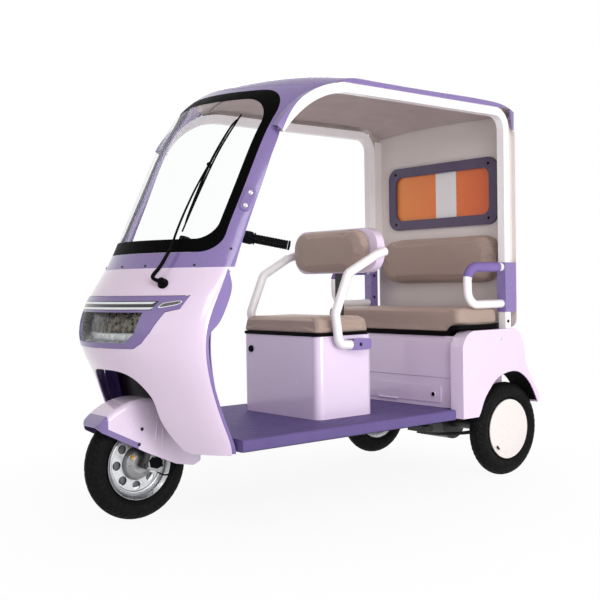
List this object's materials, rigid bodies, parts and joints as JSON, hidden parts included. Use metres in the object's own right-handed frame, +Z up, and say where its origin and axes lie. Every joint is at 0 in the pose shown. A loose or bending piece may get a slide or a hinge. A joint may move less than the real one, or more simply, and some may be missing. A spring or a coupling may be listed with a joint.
{
  "type": "electric passenger tricycle",
  "caption": "Electric three-wheeled passenger tricycle with a roof, open sides, a driver's seat on a box, a rear bench, a windscreen with wiper and deep rounded mudguards.",
  "frame": {"origin": "on the ground, half way along the vehicle's overall length, on its centre plane", "axes": "+X forward, +Y to the vehicle's left, +Z up"},
  "size_m": [2.0548, 0.936, 1.7059],
  "materials": {
    "battery": "plain",
    "black_plastic": "satin",
    "black_steel": "satin",
    "chrome_trim": "polished",
    "clear_glass": "clear",
    "grey_leather": "soft grain",
    "grey_plastic": "satin",
    "lamp_glass": "clear",
    "lilac_plastic": "gloss",
    "motor_alloy": "cast",
    "orange_film": "film",
    "red_lamp": "clear",
    "rubber_black": "ribbed",
    "tyre": "moulded",
    "violet_plastic": "gloss",
    "wheel_silver": "satin paint",
    "white_paint": "gloss",
    "white_plastic": "satin"
  },
  "bodies": {
    "vehicle": {"backrest_post": "black_steel", "battery_block": "battery", "cab_surround": "violet_plastic", "chassis_frame": "black_steel", "driver_arm_left": "white_paint", "driver_arm_right": "white_paint", "driver_backrest": "grey_leather", "driver_backrest_shell": "white_plastic", "driver_seat_box": "lilac_plastic", "floor_front": "violet_plastic", "floor_rear": "violet_plastic", "front_shield": "lilac_plastic", "grab_handle_left": "white_paint", "grab_handle_right": "white_paint", "handle_bracket_left": "violet_plastic", "handle_bracket_right": "violet_plastic", "headlamp_bezel": "violet_plastic", "headlamp_housing": "black_plastic", "headlamp_lens": "lamp_glass", "inner_shield": "violet_plastic", "lamp_strips": "chrome_trim", "leaf_springs": "black_steel", "leg_shield": "violet_plastic", "mirror_bosses": "violet_plastic", "rear_axle": "motor_alloy", "rear_backrest": "grey_leather", "rear_fender_left": "lilac_plastic", "rear_fender_right": "lilac_plastic", "rear_seat_base": "black_plastic", "rear_seat_box": "lilac_plastic", "rear_seat_cushion": "grey_leather", "rear_wall": "grey_plastic", "rear_window_frame": "violet_plastic", "rear_window_pane": "orange_film", "roof_lining": "grey_plastic", "roof_shell": "violet_plastic", "side_rail_left": "white_paint", "side_rail_right": "white_paint", "tail_lamps": "red_lamp", "wheel_liner_left": "black_plastic", "wheel_liner_right": "black_plastic", "windscreen": "clear_glass", "windscreen_seal": "black_plastic", "windscreen_wiper": "black_plastic"},
    "steering": {"steering_fork": "white_paint", "handlebar": "black_steel", "grips": "rubber_black", "front_fender": "lilac_plastic", "front_caliper": "motor_alloy"},
    "front_wheel": {"front_tyre": "tyre", "front_rim": "wheel_silver"},
    "rear_wheel_left": {"rear_tyre_left": "tyre", "rear_rim_left": "wheel_silver", "rear_hub_cap_left": "white_paint"},
    "rear_wheel_right": {"rear_tyre_right": "tyre", "rear_rim_right": "wheel_silver", "rear_hub_cap_right": "white_paint"},
    "driver_seat_lid": {"driver_seat_base": "black_plastic", "driver_seat_cushion": "grey_leather"},
    "battery_flap": {"battery_hatch": "lilac_plastic"}
  },
  "joints": [
    {"name": "steering_turn", "type": "hinge", "parent": "vehicle", "child": "steering", "pos_m": [0.78611, 0, 0.19553], "axis": [-0.342, 0, 0.9397], "range_deg": [-35, 35]},
    {"name": "front_wheel_spin", "type": "hinge", "parent": "steering", "child": "front_wheel", "pos_m": [0.819, 0, 0.2075], "axis": [0, 1, 0], "continuous": true},
    {"name": "rear_wheel_left_spin", "type": "hinge", "parent": "vehicle", "child": "rear_wheel_left", "pos_m": [-0.821, 0.415, 0.2075], "axis": [0, 1, 0], "continuous": true},
    {"name": "rear_wheel_right_spin", "type": "hinge", "parent": "vehicle", "child": "rear_wheel_right", "pos_m": [-0.821, -0.415, 0.2075], "axis": [0, 1, 0], "continuous": true},
    {"name": "driver_seat_lid_tilt", "type": "hinge", "parent": "vehicle", "child": "driver_seat_lid", "pos_m": [-0.163, 0, 0.6553], "axis": [0, -1, 0], "range_deg": [0, 40]},
    {"name": "battery_flap_drop", "type": "hinge", "parent": "vehicle", "child": "battery_flap", "pos_m": [-0.5145, 0, 0.34], "axis": [0, 1, 0], "range_deg": [0, 85]}
  ]
}
